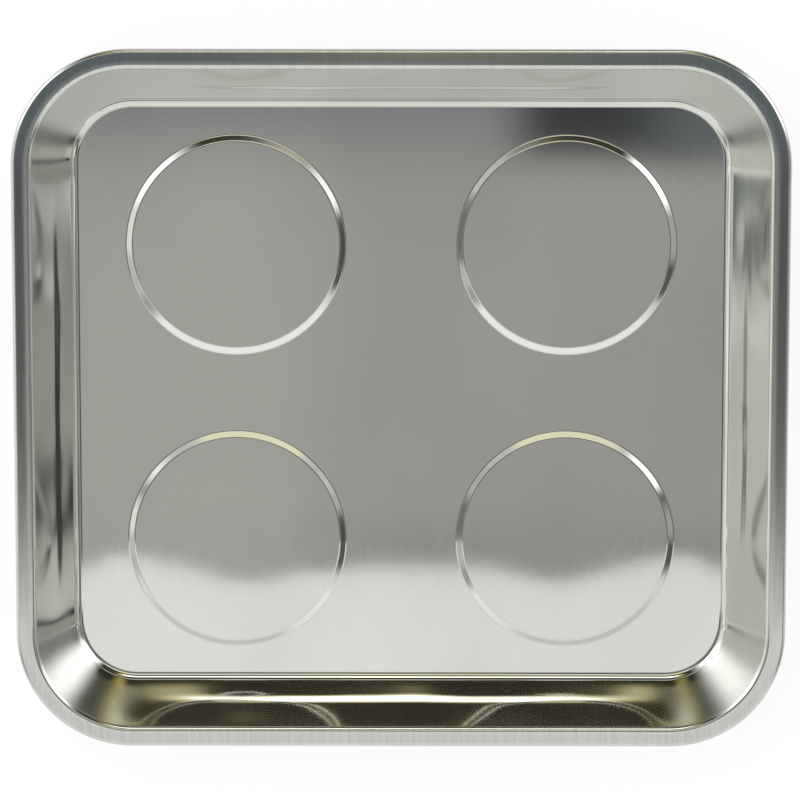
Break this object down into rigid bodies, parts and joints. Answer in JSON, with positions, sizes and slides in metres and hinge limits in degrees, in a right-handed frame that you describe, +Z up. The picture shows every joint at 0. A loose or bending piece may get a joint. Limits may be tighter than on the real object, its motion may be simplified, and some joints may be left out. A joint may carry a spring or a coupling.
{
  "type": "magnetic parts tray",
  "caption": "Stainless parts tray with rounded corners, leaning walls and a turned-down rim, whose floor rises in round discs over rubber-booted ring magnets that hold loose screws.",
  "frame": {"origin": "on the bench under the middle of the tray, level with the undersides of the rubber boots", "axes": "+X along the tray's width to its right side, +Y to its rear edge, +Z up out of the well"},
  "size_m": [0.3, 0.272, 0.0446],
  "materials": {
    "stainless": "polished",
    "boot_rubber": "matte",
    "ferrite": "matte",
    "plated_steel": "satin",
    "fastener_steel": "satin"
  },
  "bodies": {
    "root": {"tray": "stainless", "boot_front_left": "boot_rubber", "magnet_front_left": "ferrite", "pole_plate_front_left": "plated_steel", "weld_stud_front_left": "fastener_steel", "washer_front_left": "fastener_steel", "nut_front_left": "fastener_steel", "boot_front_right": "boot_rubber", "magnet_front_right": "ferrite", "pole_plate_front_right": "plated_steel", "weld_stud_front_right": "fastener_steel", "washer_front_right": "fastener_steel", "nut_front_right": "fastener_steel", "boot_rear_left": "boot_rubber", "magnet_rear_left": "ferrite", "pole_plate_rear_left": "plated_steel", "weld_stud_rear_left": "fastener_steel", "washer_rear_left": "fastener_steel", "nut_rear_left": "fastener_steel", "boot_rear_right": "boot_rubber", "magnet_rear_right": "ferrite", "pole_plate_rear_right": "plated_steel", "weld_stud_rear_right": "fastener_steel", "washer_rear_right": "fastener_steel", "nut_rear_right": "fastener_steel"}
  },
  "joints": []
}
